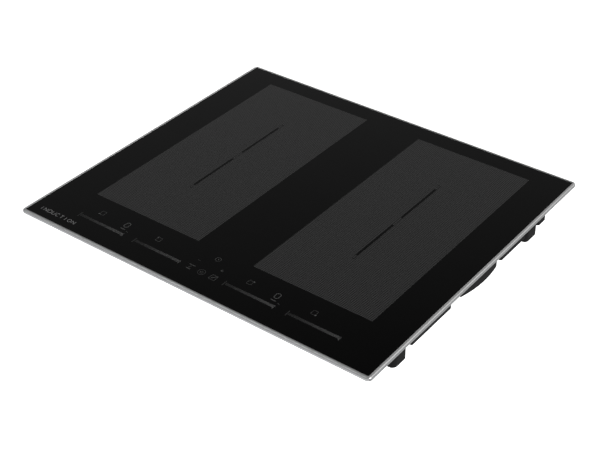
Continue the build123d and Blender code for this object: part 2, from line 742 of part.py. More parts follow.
# ---------------------------------------------------------------------------
# touch control
# ---------------------------------------------------------------------------
def touch_carrier():
    """Shallow moulded frame that holds the touch board just under the glass."""
    y0 = TOUCH_Y - TOUCH_D / 2 - 2
    y1 = TOUCH_Y + TOUCH_D / 2 + 2
    half = TOUCH_W / 2 + 2
    frame = rounded(-half, half, y0, y1, CARRIER_Z, TOUCH_BOARD_Z + 2, 4.0)
    frame = frame - rounded(-half + 2, half - 2, y0 + 2, y1 - 2, TOUCH_BOARD_Z, TOUCH_BOARD_Z + 3, 2.0)
    for x in (-170, -102, -56, 56, 102, 170):
        frame = frame - rounded(x - 18, x + 18, y0 + 6, y1 - 6, CARRIER_Z - 1, TOUCH_BOARD_Z + 1, 3.0)
    for x, y in touch_posts():
        frame = frame - disc(x, y, CARRIER_Z - 1, TOUCH_BOARD_Z + 1, SCREW_HOLE_R)
    return frame


def touch_board():
    top = TOUCH_BOARD_Z + BOARD_T
    board = Pos(0, TOUCH_Y, 0) * centred(TOUCH_W - 0.6, TOUCH_D - 0.6, TOUCH_BOARD_Z, top, 2.0)
    for x, y in touch_posts():
        board = board - disc(x, y, TOUCH_BOARD_Z - 1, top + 1, SCREW_HOLE_R)
    return board


def touch_pads():
    """Conductive foam cylinders that join the key areas of the glass to the board."""
    places = [(x, -202.0) for x in (-195.7, -149.0, -92.4, -18.5, 20.7, 66.0, 112.0, 169.2)]
    places = places + [(x, -228.0) for x in (-19.0, 1.0, 20.7)] + [(1.0, -198.0)]
    z0 = TOUCH_BOARD_Z + BOARD_T
    return group(disc(x, y, z0, GLASS_BOTTOM, 3.5) for x, y in places)


def slider_light_guides():
    """Four clear bars that spread the light of the slider lamps."""
    z0 = TOUCH_BOARD_Z + BOARD_T
    bars = []
    for x in SLIDER_XS:
        bars.append(Pos(x, SLIDER_Y, 0) * centred(SLIDER_L, 6, z0, GLASS_BOTTOM - 0.4, 1.5))
    return group(bars)


def touch_screws():
    return group(screw(x, y, TOUCH_BOARD_Z + BOARD_T, 9.0) for x, y in touch_posts())


def buzzer():
    z1 = TOUCH_BOARD_Z + BOARD_T
    return disc(140, -203, z1, z1 + 4.5, 6.0) - disc(140, -203, z1 + 3.5, z1 + 6, 1.0)


def ribbon_cable():
    """Flat lead from the touch board down to the filter board."""
    path = FilletPolyline((-188.5, TOUCH_BOARD_Z - 0.5), (-184.0, TOUCH_BOARD_Z - 0.5),
                          (-184.0, 20.0), (-172.5, 20.0), (-172.5, BOARD_Z + BOARD_T + 5), radius=2.0)
    line = make_face(offset(path, 0.5, side=Side.BOTH))
    ribbon = extrude(Plane.YZ * line, 9.0, both=True)
    socket = block(-11, 11, -177, -168, BOARD_Z + BOARD_T, BOARD_Z + BOARD_T + 5)
    return ribbon + socket


def main():
    os.makedirs("parts", exist_ok=True)
    save("glass_plate", glass_plate())
    save("trim_frame", trim_frame())
    save("worktop_seal", worktop_seal())
    save("glass_bond", glass_bond())
    save("base_tray", base_tray())
    save("terminal_cover", terminal_cover())
    save("terminal_block", terminal_block())
    save("terminal_screws", terminal_screws())
    save("coil_deck", coil_deck())
    save("coil_pads", coil_pads())
    save("temperature_sensors", temperature_sensors())
    save("coil_connectors", coil_connectors())
    save("coil_leads", coil_leads())
    save("mains_lead", mains_lead())
    for name, sx, sy in CORNERS:
        x, y = coil_centre(sx, sy)
        save(f"coil_carrier_{name}", coil_carrier(x, y))
        save(f"coil_winding_{name}", coil_winding(x, y))
        save(f"ferrite_bars_{name}", ferrite_bars(x, y))
        save(f"insulation_mat_{name}", insulation_mat(x, y))
    for name, side in (("left", -1), ("right", 1)):
        save(f"power_board_{name}", power_board(side))
        save(f"heat_sink_{name}", heat_sink(side))
        save(f"power_transistors_{name}", power_transistors(side))
        save(f"film_capacitors_{name}", film_capacitors(side))
        save(f"choke_{name}", choke(side))
        save(f"fan_housing_{name}", fan_housing(side))
        save(f"fan_motor_{name}", fan_motor(side))
        save(f"fan_wheel_{name}", fan_wheel(side))
    save("filter_board", filter_board())
    save("mains_choke", mains_choke())
    save("filter_capacitors", filter_capacitors())
    save("mains_relay", mains_relay())
    save("board_screws", board_screws())
    save("deck_screws", deck_screws())
    save("touch_carrier", touch_carrier())
    save("touch_board", touch_board())
    save("touch_pads", touch_pads())
    save("slider_light_guides", slider_light_guides())
    save("touch_screws", touch_screws())
    save("buzzer", buzzer())
    save("ribbon_cable", ribbon_cable())


main()
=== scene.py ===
"""Looks of the built-in induction cooktop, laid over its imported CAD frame."""
import json
import math

import bpy
import numpy as np
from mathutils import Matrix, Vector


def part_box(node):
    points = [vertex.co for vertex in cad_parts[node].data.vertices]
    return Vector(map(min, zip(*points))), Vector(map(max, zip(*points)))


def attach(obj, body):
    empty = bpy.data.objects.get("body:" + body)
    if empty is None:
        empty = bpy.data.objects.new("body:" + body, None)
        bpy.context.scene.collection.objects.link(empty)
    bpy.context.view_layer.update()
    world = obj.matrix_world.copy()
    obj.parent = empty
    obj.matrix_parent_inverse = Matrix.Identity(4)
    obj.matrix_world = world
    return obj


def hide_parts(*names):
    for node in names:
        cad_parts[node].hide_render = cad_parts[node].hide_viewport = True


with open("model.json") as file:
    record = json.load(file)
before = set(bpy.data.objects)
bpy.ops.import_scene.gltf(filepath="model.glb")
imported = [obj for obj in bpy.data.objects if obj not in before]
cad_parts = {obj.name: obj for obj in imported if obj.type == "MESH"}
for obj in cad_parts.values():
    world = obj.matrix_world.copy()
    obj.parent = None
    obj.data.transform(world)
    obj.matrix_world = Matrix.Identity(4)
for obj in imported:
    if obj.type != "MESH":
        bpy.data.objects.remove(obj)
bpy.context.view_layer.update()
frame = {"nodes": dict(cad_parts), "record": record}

MM = 0.001
BODY = "cooktop"
GLASS_LOW, GLASS_HIGH = (np.array(corner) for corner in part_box("glass_plate"))
TRIM_LOW, TRIM_HIGH = (np.array(corner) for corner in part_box("trim_frame"))
TOP = float(GLASS_HIGH[2])

# print on the glass: gap under it and thickness, then the pitch of the zone dots in millimetres
INK_LIFT = 0.03 * MM
INK_T = 0.05 * MM
DOT_PITCH = 2.87

# studio shell in metres, and the number of flats round it
FLOOR_Z = -3.0
CEILING_Z = 9.0
SHELL_R = 12.0
SHELL_COVE = 3.0
SHELL_SIDES = 96

# camera: degrees round from the front, degrees up, metres from the target, millimetres of lens
CAMERA_AZIMUTH = 36.5325
CAMERA_ELEVATION = 35.3165
CAMERA_DISTANCE = 1.7584
CAMERA_TARGET = (0.0649, -0.0407, TOP)
CAMERA_LENS = 77.225
CAMERA_SHIFT_X = -0.0381

# distant lamps: name, azimuth, elevation, strength, spread (angles in degrees)
SUNS = (
    ("key_sun", 85.0, 30.0, 2.2, 14.0),
    ("fill_sun", -70.0, 58.0, 0.42, 20.0),
    ("rim_sun", 135.0, 38.0, 0.2, 40.0),
)

# room light: strength at the horizon, its fall towards the zenith, its floor, and the rear shade
ROOM_LEVEL = 0.404
ROOM_FALL = 0.53
ROOM_LEAST = 0.02
ROOM_SHADE = 0.25


# ---------------------------------------------------------------------------
# shader arithmetic
# ---------------------------------------------------------------------------
class Wire:
    """An output socket of one material's nodes, usable in Python arithmetic."""

    def __init__(self, tree, socket=None):
        self.tree = tree
        self.socket = socket

    def node(self, kind, settings=None, inputs=None, out=0):
        """Adds a node: its settings first, then the values or links of its sockets."""
        made = self.tree.nodes.new(kind)
        for key, value in (settings or {}).items():
            if key == "stops":
                ramp = made.color_ramp.elements
                while len(ramp) < len(value):
                    ramp.new(0.5)
                for element, (place, colour) in zip(ramp, value):
                    element.position = place
                    element.color = (*colour, 1.0)
            else:
                setattr(made, key, value)
        for key, value in (inputs or {}).items():
            if isinstance(value, Wire):
                self.tree.links.new(value.socket, made.inputs[key])
            else:
                made.inputs[key].default_value = value
        return Wire(self.tree, made.outputs[out])

    def math(self, operation, *values):
        return self.node("ShaderNodeMath", {"operation": operation}, dict(enumerate(values)))

    def __add__(self, other):
        return self.math("ADD", self, other)

    def __sub__(self, other):
        return self.math("SUBTRACT", self, other)

    def __rsub__(self, other):
        return self.math("SUBTRACT", other, self)

    def __mul__(self, other):
        return self.math("MULTIPLY", self, other)

    def __truediv__(self, other):
        return self.math("DIVIDE", self, other)

    def __rtruediv__(self, other):
        return self.math("DIVIDE", other, self)

    __radd__ = __add__
    __rmul__ = __mul__

    def sine(self):
        return self.math("SINE", self)

    def size(self):
        return self.math("ABSOLUTE", self)

    def at_least(self, low):
        return self.math("MAXIMUM", self, low)

    def step(self, low, high):
        """Runs from 0 at low to 1 at high, eased at both ends."""
        return self.node("ShaderNodeMapRange", {"interpolation_type": "SMOOTHSTEP"},
                         {"Value": self, "From Min": low, "From Max": high})

    def spans(self, low, high):
        """Carries the range 0 to 1 onto low to high."""
        return self * (high - low) + low

    def blend(self, first, second):
        """Mixes two colours with this value as the factor."""
        return self.node("ShaderNodeMix", {"data_type": "RGBA"},
                         {"Factor": self, "A": (*first, 1.0) if isinstance(first, tuple) else first,
                          "B": (*second, 1.0) if isinstance(second, tuple) else second}, out="Result")

    def noise(self, scale, detail=2.0, stretch=None):
        """Fractal noise on this vector, with an optional stretch along each axis."""
        place = self
        if stretch:
            place = self.node("ShaderNodeMapping", None, {"Vector": self, "Scale": stretch})
        return self.node("ShaderNodeTexNoise", None, {"Vector": place, "Scale": scale, "Detail": detail})

    def bump(self, strength, distance):
        """Turns this height into a bent normal."""
        return self.node("ShaderNodeBump", None,
                         {"Height": self, "Strength": strength, "Distance": distance})


def new_material(name):
    """An empty Principled material: its material, its shader and a wire at object coordinates."""
    made = bpy.data.materials.new(name)
    made.use_nodes = True
    shader = made.node_tree.nodes["Principled BSDF"]
    place = Wire(made.node_tree).node("ShaderNodeTexCoord", out="Object")
    return made, shader, place


def feed(shader, **sockets):
    """Sets constants on the shader and links what varies."""
    for key, value in sockets.items():
        socket = shader.inputs[key.replace("_", " ")]
        if isinstance(value, Wire):
            value.tree.links.new(value.socket, socket)
        else:
            socket.default_value = (*value, 1.0) if isinstance(value, tuple) else value


def axes(place):
    """The three components of a vector wire."""
    return [place.node("ShaderNodeSeparateXYZ", None, {"Vector": place}, out=axis) for axis in "XYZ"]


# ---------------------------------------------------------------------------
# finishes
# ---------------------------------------------------------------------------
def black_glass():
    """Polished black glass-ceramic, with a faint change of gloss where cloths have wiped it."""
    made, shader, place = new_material("black_glass_ceramic")
    wipe = place.noise(9.0, 3.0, (1.0, 2.5, 1.0)).step(0.35, 0.7)
    feed(shader, Base_Color=wipe.blend((0.0003, 0.0003, 0.0003), (0.0006, 0.0006, 0.0006)),
         Roughness=wipe.spans(0.045, 0.075), IOR=1.5)
    return made


def satin_trim():
    """Anodised aluminium with a clouded tone and a fine grain.

    A point is on a side rail where it lies nearer to a side than to the front or back; the change runs along
    the diagonal at each corner. There the lip is painted paler, a painted highlight, and the upright face is
    painted darker, a painted shade.
    """
    made, shader, place = new_material("satin_aluminium")
    x, y, z = axes(place)
    cloud = place.noise(14.0, 3.0)
    grain = place.noise(900.0, 2.0)
    half_x, half_y, top = (float(v) for v in TRIM_HIGH)
    mitre, face_top, lip_start = 0.2 * MM, 1.5 * MM, 0.3 * MM
    # painted light on the side rails: a painted highlight on the lip and a painted shade on the upright face
    nearer_side = x.size() - y.size() - (half_x - half_y)
    side_painted_light_mask = nearer_side.step(-mitre, mitre)
    lip_painted_highlight_mask = z.step(top - face_top, top - lip_start)
    front_back_tone = cloud.blend((0.60, 0.605, 0.61), (0.66, 0.665, 0.67))
    # side rail colours: 0.94 is the painted highlight on the lip, 0.40 the painted shade on the upright face
    side_painted_highlight_and_shade = lip_painted_highlight_mask.blend((0.40, 0.403, 0.407), (0.94, 0.94, 0.94))
    feed(shader, Base_Color=side_painted_light_mask.blend(front_back_tone, side_painted_highlight_and_shade),
         Metallic=0.7, Roughness=grain.spans(0.34, 0.44),
         Normal=grain.bump(0.12, 0.00005))
    return made


def zone_ink(name, level):
    """Grey ceramic print of fine dots on a square grid: the mean of a sine along x and one along y."""
    made, shader, place = new_material(name)
    x, y, _ = axes(place)
    turn = 2 * math.pi / (DOT_PITCH * MM)
    dots = ((x * turn).sine() + (y * turn).sine()) * 0.25 + 0.5
    feed(shader, Base_Color=dots.blend((0.25 * level,) * 3, (1.75 * level,) * 3),
         Roughness=0.16, IOR=1.5)
    return made


def line_ink(name, dim, bright):
    """Pale ceramic print whose strength follows the piece's own U coordinate."""
    made, shader, place = new_material(name)
    u = axes(place.node("ShaderNodeUVMap", {"uv_map": "strength"}))[0]
    speck = place.noise(2200.0, 1.0).spans(0.9, 1.1)
    shade = u * speck
    feed(shader, Base_Color=shade.blend((dim,) * 3, (bright,) * 3), Roughness=0.3, IOR=1.5)
    return made


# ---------------------------------------------------------------------------
# meshes
# ---------------------------------------------------------------------------
def mesh_piece(name, points, quads, material, strength=None, smooth=False):
    """A mesh object from arrays of points and four-sided faces, riding on the cooktop."""
    mesh = bpy.data.meshes.new(name)
    mesh.from_pydata([], [], [])
    mesh.vertices.add(len(points))
    mesh.vertices.foreach_set("co", np.ascontiguousarray(points, dtype=np.float32).ravel())
    mesh.loops.add(quads.size)
    mesh.loops.foreach_set("vertex_index", quads.ravel().astype(np.int32))
    mesh.polygons.add(len(quads))
    mesh.polygons.foreach_set("loop_start", np.arange(0, quads.size, 4, dtype=np.int32))
    mesh.polygons.foreach_set("use_smooth", np.full(len(quads), smooth))
    mesh.update(calc_edges=True)
    if strength is not None:
        uv = mesh.uv_layers.new(name="strength")
        flat = np.zeros((quads.size, 2), np.float32)
        flat[:, 0] = np.asarray(strength)[quads.ravel()]
        uv.data.foreach_set("uv", flat.ravel())
    mesh.validate()
    mesh.materials.append(material)
    piece = bpy.data.objects.new(name, mesh)
    bpy.context.scene.collection.objects.link(piece)
    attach(piece, BODY)
    return piece


def grid_quads(rows, columns, wrap_rows, wrap_columns):
    """Faces between neighbouring rows and columns of a grid of points."""
    i = np.arange(rows if wrap_rows else rows - 1)
    j = np.arange(columns if wrap_columns else columns - 1)
    i, j = np.meshgrid(i, j, indexing="ij")
    a = i * columns + j
    b = i * columns + (j + 1) % columns
    c = (i + 1) % rows * columns + (j + 1) % columns
    d = (i + 1) % rows * columns + j
    return np.stack([a, b, c, d], -1).reshape(-1, 4)


def rounded_loop(half_x, half_y, radius, steps):
    """Rounded rectangle, anticlockwise.

    Each corner is a quarter circle about a point set in from both sides by the radius.
    """
    turn = np.linspace(0, math.pi / 2, steps)
    corners = []
    for k, (sx, sy) in enumerate(((1, 1), (-1, 1), (-1, -1), (1, -1))):
        angle = turn + k * math.pi / 2
        corners.append(np.stack([sx * (half_x - radius) + radius * np.cos(angle),
                                 sy * (half_y - radius) + radius * np.sin(angle)], -1))
    return np.concatenate(corners)


def carried_round(name, section, half_x, half_y, radius, steps, material):
    """Closed section carried round a rounded rectangle: each section point is (set-in, height)."""
    rings = []
    for inset, z in section:
        loop = rounded_loop(half_x - inset, half_y - inset, max(radius - inset, 0.3 * MM), steps)
        rings.append(np.column_stack([loop, np.full(len(loop), z)]))
    points = np.array(rings)
    quads = grid_quads(len(section), points.shape[1], True, True)
    return mesh_piece(name, points.reshape(-1, 3), quads, material, smooth=True)


def slab_frame(outer, inner, z0, z1):
    """Flat plate with a rectangular slot.

    Four loops carry the section round: outer top, inner top, inner foot and outer foot.
    """
    def loop(box, z):
        x0, x1, y0, y1 = box
        return [(x1, y1, z), (x0, y1, z), (x0, y0, z), (x1, y0, z)]
    points = np.array([loop(outer, z1), loop(inner, z1), loop(inner, z0), loop(outer, z0)], float)
    return points.reshape(-1, 3), grid_quads(4, 4, True, True)


def slab(x0, x1, y0, y1, z0, z1):
    """Thin closed plate between two corners."""
    x, y, z = np.meshgrid([x0, x1], [y0, y1], [z0, z1], indexing="ij")
    points = np.stack([x, y, z], -1).reshape(-1, 3)
    quads = np.array([[0, 1, 3, 2], [4, 6, 7, 5], [0, 4, 5, 1], [2, 3, 7, 6], [0, 2, 6, 4], [1, 5, 7, 3]])
    return points, quads


def stroke(path, width, closed=False):
    """Flat ink line: a thin rectangular section carried along a path, mitred at its bends.

    The line is either closed on itself or capped at both ends.
    """
    path = np.asarray(path, float)
    before = np.roll(path, 1, 0) if closed else np.vstack([2 * path[0] - path[1], path[:-1]])
    after = np.roll(path, -1, 0) if closed else np.vstack([path[1:], 2 * path[-1] - path[-2]])
    leading = (path - before) / np.linalg.norm(path - before, axis=1)[:, None]
    trailing = (after - path) / np.linalg.norm(after - path, axis=1)[:, None]
    tangent = leading + trailing
    tangent /= np.linalg.norm(tangent, axis=1)[:, None]
    normal = np.stack([-tangent[:, 1], tangent[:, 0]], -1)
    spread = 1 / np.clip((tangent * leading).sum(1), 0.5, 1)
    left = path + normal * (width / 2 * spread)[:, None]
    right = path - normal * (width / 2 * spread)[:, None]
    z0 = TOP / MM + INK_LIFT / MM
    z1 = z0 + INK_T / MM
    rows = np.stack([np.column_stack([left, np.full(len(path), z1)]),
                     np.column_stack([left, np.full(len(path), z0)]),
                     np.column_stack([right, np.full(len(path), z0)]),
                     np.column_stack([right, np.full(len(path), z1)])], 1)
    quads = grid_quads(len(path), 4, closed, True)
    if not closed:
        last = 4 * (len(path) - 1)
        quads = np.vstack([quads, [[0, 3, 2, 1]], [[last, last + 1, last + 2, last + 3]]])
    return rows.reshape(-1, 3), quads


def joined(parts):
    """Several sets of points and faces as one."""
    points, quads, start = [], [], 0
    for some, faces in parts:
        points.append(some)
        quads.append(faces + start)
        start += len(some)
    return np.vstack(points), np.vstack(quads)


def arc(cx, cy, r, first, last, steps=20):
    """Points of a circular arc between two angles in degrees."""
    angle = np.radians(np.linspace(first, last, steps))
    return np.stack([cx + r * np.cos(angle), cy + r * np.sin(angle)], -1)


def ring(cx, cy, r, steps=32):
    """Points of a whole circle, without the repeated last one."""
    return arc(cx, cy, r, 0, 360 * (1 - 1 / steps), steps)


def square(cx, cy, w, h, r):
    """Rounded rectangle centred on a point."""
    return rounded_loop(w / 2, h / 2, r, 5) + (cx, cy)


def ink(name, strokes, material):
    """One printed piece from a list of (path, width, closed, strength of print), in millimetres."""
    made = [stroke(path, width, closed) for path, width, closed, _ in strokes]
    points, quads = joined(made)
    levels = [np.full(len(some), line[3]) for (some, _), line in zip(made, strokes)]
    return mesh_piece(name, points * MM, quads, material, np.concatenate(levels))


# ---------------------------------------------------------------------------
# trim
# ---------------------------------------------------------------------------
def trim_rail():
    """Rounded aluminium rail carried round the glass.

    Its section is a flat lip, a quarter-round shoulder, a short upright face and a lower flange.
    """
    half_x, half_y, top = (float(v) for v in TRIM_HIGH)
    foot, seat = float(TRIM_LOW[2]), float(GLASS_LOW[2])
    lip, shoulder, wall, flange = 4.3 * MM, 2.4 * MM, 2.8 * MM, 11.0 * MM
    bead, toe, corner = 0.15 * MM, 0.5 * MM, 6 * MM
    section = [(lip, TOP), (lip, top - bead), (lip - bead, top)]
    section += [(shoulder + (lip - bead - shoulder) * k, top) for k in (0.66, 0.33)]
    turn = np.linspace(0, math.pi / 2, 12)
    section += [(shoulder * (1 - math.sin(a)), top - shoulder * (1 - math.cos(a))) for a in turn]
    section += [(0.0, foot + toe), (bead, foot + bead), (toe, foot), (flange, foot),
                (flange, seat), (wall, seat), (wall, TOP)]
    rail = carried_round("trim_rail", section, half_x, half_y, corner, 12,
                         satin_trim())
    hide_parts("trim_frame")


# ---------------------------------------------------------------------------
# print on the glass (millimetres from the middle of the glass, +Y to the rear)
# ---------------------------------------------------------------------------
# cooking zones: middle, width, front and back edges, level of the print, bare slot and its marks
ZONE_MID_X = 142.0
ZONE_W = 189.5
ZONE_Y = (-170.0, 225.0)
ZONE_LEVEL = 0.036
SLIT_W = 3.8
MARK_W = 2.7
SLIT_Y = (-78.5, 136.5)
SLIT_MARKS = ((-77.5, -70.0), (16.6, 37.6), (125.0, 135.5))

# touch sliders: middles, first and last tick from the middle, line, tick height, weakest and strongest print
SLIDER_MIDS = (-181.4, -79.0, 79.0, 181.4)
SLIDER_START = -37.0
SLIDER_END = 43.0
SLIDER_Y = -219.6
SLIDER_H = 4.6
SLIDER_DIM = 0.075
SLIDER_BRIGHT = 0.37
TICK_PITCH = 1.06
TICK_W = 0.62

# zone keys: middle along X, and which corner carries the dot
ZONE_KEYS = ((-196.0, -1, -1), (-92.2, -1, 1), (66.0, 1, 1), (169.4, 1, -1))
ZONE_KEY_Y = -199.0

# keys that join two coils
BRIDGE_KEYS = (-149.3, 111.6)
BRIDGE_KEY_Y = -200.0

# generic word: first letter's middle, pitch, letter size, pen and level of print
WORD_X = -274.0
WORD_Y = -239.5
WORD_PITCH = 7.6
WORD_W = 5.2
WORD_H = 6.2
WORD_PEN = 0.9
WORD_LEVEL = 0.75


def zone_prints():
    """Two long fields of dots, each with a slot of bare glass and paler marks inside the slot."""
    z0 = TOP + INK_LIFT
    z1 = z0 + INK_T
    dots = zone_ink("zone_dot_print", ZONE_LEVEL)
    for side, label in ((-1, "left"), (1, "right")):
        mid = side * ZONE_MID_X
        outer = np.array([mid - ZONE_W / 2, mid + ZONE_W / 2, *ZONE_Y]) * MM
        inner = np.array([mid - SLIT_W / 2, mid + SLIT_W / 2, *SLIT_Y]) * MM
        points, quads = slab_frame(outer, inner, z0, z1)
        mesh_piece(f"zone_print_{label}", points, quads, dots)
        marks = [slab((mid - MARK_W / 2) * MM, (mid + MARK_W / 2) * MM, low * MM, high * MM, z0, z1)
                 for low, high in SLIT_MARKS]
        points, quads = joined(marks)
        mesh_piece(f"zone_marks_{label}", points, quads, dots)


def slider_scales(material):
    """Four combs of short upright ticks; their print gets stronger from left to right."""
    count = int((SLIDER_END - SLIDER_START) / TICK_PITCH) + 1
    for number, mid in enumerate(SLIDER_MIDS, 1):
        low, high = mid + SLIDER_START, mid + SLIDER_END
        xs = low + TICK_PITCH * np.arange(count)
        ticks = [stroke([(x, SLIDER_Y - SLIDER_H / 2), (x, SLIDER_Y + SLIDER_H / 2)], TICK_W) for x in xs]
        ticks.append(stroke([(low - 2.0, SLIDER_Y - 5.4), (low - 2.0, SLIDER_Y + 5.4)], 1.6))
        ticks.append(stroke([(low, SLIDER_Y), (high, SLIDER_Y)], 0.4))
        ticks.append(stroke([(high - 1.0, SLIDER_Y - 4.2), (high - 1.0, SLIDER_Y + 2.6)], 1.2))
        points, quads = joined(ticks)
        along = np.clip((points[:, 0] - low) / (high - low), 0, 1)
        level = SLIDER_DIM + (SLIDER_BRIGHT - SLIDER_DIM) * along
        mesh_piece(f"slider_scale_{number}", points * MM, quads, material, level)


def zone_key(cx, cy, dot_x, dot_y):
    """Small square outline with a solid dot on the corner of the coil that it picks."""
    return [(square(cx, cy, 7.2, 8.0, 1.2), 0.75, True, 0.16),
            (ring(cx + dot_x * 3.6, cy + dot_y * 3.4, 0.7, 12), 1.3, True, 0.42)]


def bridge_key(cx, cy):
    """Tall rounded pan outline over a short foot line: the key that joins two coils."""
    return [(square(cx, cy, 6.8, 10.4, 3.2), 1.1, True, 0.27),
            ([(cx - 3.6, cy - 9.8), (cx + 4.8, cy - 9.8)], 1.5, False, 0.24),
            ([(cx + 8.6, cy - 10.9), (cx + 12.0, cy - 12.6)], 1.1, False, 0.13)]


def timer_key():
    """Clock face with two hands."""
    cx, cy = 1.2, -185.8
    return [(ring(cx, cy, 4.0), 0.7, True, 0.2),
            ([(cx, cy + 2.0), (cx, cy - 0.2), (cx + 1.4, cy - 1.1)], 0.7, False, 0.3)]


def minus_key():
    """Short level line."""
    return [([(-20.6, -201.8), (-16.0, -201.8)], 0.8, False, 0.09)]


def plus_key():
    """Two short lines crossed."""
    cx, cy = 20.9, -201.8
    return [([(cx - 2.1, cy), (cx + 2.1, cy)], 1.0, False, 0.24),
            ([(cx, cy - 2.1), (cx, cy + 2.1)], 1.0, False, 0.24)]


def power_key():
    """Ring round an open arc with an upright stroke."""
    cx, cy = 1.4, -219.6
    return [(ring(cx, cy, 5.3, 36), 0.7, True, 0.13),
            (arc(cx, cy - 0.3, 2.1, 130, 410, 18), 0.7, False, 0.16),
            ([(cx, cy + 3.0), (cx, cy + 0.2)], 0.7, False, 0.16)]


def warm_key():
    """Two level lines with a curl of heat between them."""
    cx, cy = -18.8, -219.2
    return [([(cx - 5.2, cy + 4.2), (cx + 5.2, cy + 4.2)], 1.2, False, 0.22),
            ([(cx - 3.2, cy - 4.2), (cx + 3.4, cy - 4.2)], 1.4, False, 0.26),
            (arc(cx, cy + 1.0, 1.0, 90, -90, 8), 0.6, False, 0.18),
            (arc(cx, cy - 1.0, 1.0, 90, 270, 8), 0.6, False, 0.18)]


def pause_key():
    """Square with a slanting stroke and an open corner bracket at its upper right."""
    cx, cy = 21.2, -219.4
    return [(square(cx, cy, 9.6, 9.4, 1.0), 0.8, True, 0.17),
            ([(cx - 2.4, cy - 2.0), (cx + 2.2, cy + 1.6)], 1.3, False, 0.24),
            ([(cx + 1.2, cy + 3.6), (cx + 4.0, cy + 3.6), (cx + 4.0, cy + 0.8)], 1.0, False, 0.17)]


def letters(text, x, y, pitch, w, h):
    """Plain stroke letters for a generic word: straight runs and arcs in a box w by h."""
    lines = []
    for i, letter in enumerate(text):
        a, b = x + i * pitch - w / 2, x + i * pitch + w / 2
        mid, low, high = (a + b) / 2, y - h / 2, y + h / 2
        round_end = arc(mid, y, h / 2, 90, -90, 12)
        shapes = {
            "I": [[(mid, low), (mid, high)]],
            "N": [[(a, low), (a, high)], [(a, high), (b, low)], [(b, low), (b, high)]],
            "D": [[(a, high), (a, low)], np.vstack([[(a, high)], round_end, [(a, low)]])],
            "U": [np.vstack([[(a, high)], arc(mid, low + w / 2, w / 2, 180, 360, 12), [(b, high)]])],
            "C": [np.stack([mid + w / 2 * np.cos(t), y + h / 2 * np.sin(t)], -1)
                  for t in [np.radians(np.linspace(48, 312, 18))]],
            "T": [[(mid, low), (mid, high)], [(a, high), (b, high)]],
            "O": [np.stack([mid + w / 2 * np.cos(t), y + h / 2 * np.sin(t)], -1)
                  for t in [np.radians(np.linspace(0, 360, 26))]],
        }
        lines += [(path, WORD_PEN, False, WORD_LEVEL) for path in shapes[letter]]
    return lines


def control_print():
    """Sliders, keys and the generic word along the front of the glass."""
    pale = line_ink("control_print", 0.001, 0.30)
    slider_scales(pale)
    for number, (x, dot_x, dot_y) in enumerate(ZONE_KEYS, 1):
        ink(f"zone_key_{number}", zone_key(x, ZONE_KEY_Y, dot_x, dot_y), pale)
    for number, x in enumerate(BRIDGE_KEYS, 1):
        ink(f"bridge_key_{number}", bridge_key(x, BRIDGE_KEY_Y), pale)
    for draw in (timer_key, minus_key, plus_key, power_key, warm_key, pause_key):
        ink(draw.__name__, draw(), pale)
    ink("word_print", letters("INDUCTION", WORD_X, WORD_Y, WORD_PITCH, WORD_W, WORD_H), pale)


# ---------------------------------------------------------------------------
# stage, light and camera
# ---------------------------------------------------------------------------
def studio():
    """White studio shell: level floor, round wall and flat ceiling joined by coves, turned about the Z axis.

    Its profile runs out along the floor, up a quarter circle, up the wall, round a quarter circle and in
    along the ceiling. It glows evenly and only the camera sees it, so it neither lights the cooktop nor
    shows in its glass. The floor lies well below, clear of the swung-down terminal cover.
    """
    made, shader, _ = new_material("studio_white")
    feed(shader, Base_Color=(0.8, 0.8, 0.8), Roughness=1.0, Emission_Color=(1.0, 1.0, 1.0),
         Emission_Strength=1.0)
    shader.inputs["Specular IOR Level"].default_value = 0.0
    quarter = np.linspace(0.0, math.pi / 2, 9)
    radius = np.concatenate([np.sin(quarter), np.cos(quarter)]) * SHELL_COVE + SHELL_R - SHELL_COVE
    height = np.concatenate([FLOOR_Z + SHELL_COVE * (1.0 - np.cos(quarter)),
                             CEILING_Z - SHELL_COVE * (1.0 - np.sin(quarter))])
    turn = np.arange(SHELL_SIDES) * (2 * math.pi / SHELL_SIDES)
    points = np.stack([np.outer(radius, np.cos(turn)), np.outer(radius, np.sin(turn)),
                       np.outer(height, np.ones(SHELL_SIDES))], axis=-1).reshape(-1, 3)
    quads = grid_quads(len(radius), SHELL_SIDES, False, True)
    rim = np.arange(SHELL_SIDES)
    caps = [rim.tolist(), (rim + SHELL_SIDES * (len(radius) - 1)).tolist()]
    mesh = bpy.data.meshes.new("studio")
    mesh.from_pydata(points.tolist(), [], quads.tolist() + caps)
    mesh.materials.append(made)
    shell = bpy.data.objects.new("studio", mesh)
    bpy.context.scene.collection.objects.link(shell)
    shell.visible_diffuse = False
    shell.visible_glossy = False
    shell.visible_transmission = False
    shell.visible_shadow = False


def surroundings():
    """Soft room, darker towards the ceiling and, below the horizon, darker to the rear right.

    The strength falls with height from the level at the horizon and stops at the least value.  Below
    the horizon it loses the rear shade times (0.6 x + 0.8 y) times the depth.
    """
    world = bpy.data.worlds.new("room")
    bpy.context.scene.world = world
    world.use_nodes = True
    tree = world.node_tree
    x, y, z = axes(Wire(tree).node("ShaderNodeTexCoord", out="Generated"))
    fall = ROOM_LEVEL - z * ROOM_FALL
    below = (z * -1.0).at_least(0.0)
    glow = fall.at_least(ROOM_LEAST) - (x * 0.6 + y * 0.8) * below * ROOM_SHADE
    tree.links.new(glow.socket, tree.nodes["Background"].inputs["Strength"])
    tree.nodes["Background"].inputs["Color"].default_value = (1.0, 1.0, 1.0, 1.0)


def sun(name, azimuth, elevation, strength, spread):
    """Distant soft lamp that shines from a compass direction and height, in degrees."""
    lamp = bpy.data.lights.new(name, "SUN")
    lamp.energy = strength
    lamp.angle = math.radians(spread)
    holder = bpy.data.objects.new(name, lamp)
    holder.rotation_euler = (math.radians(90 - elevation), 0.0, math.radians(azimuth))
    bpy.context.scene.collection.objects.link(holder)


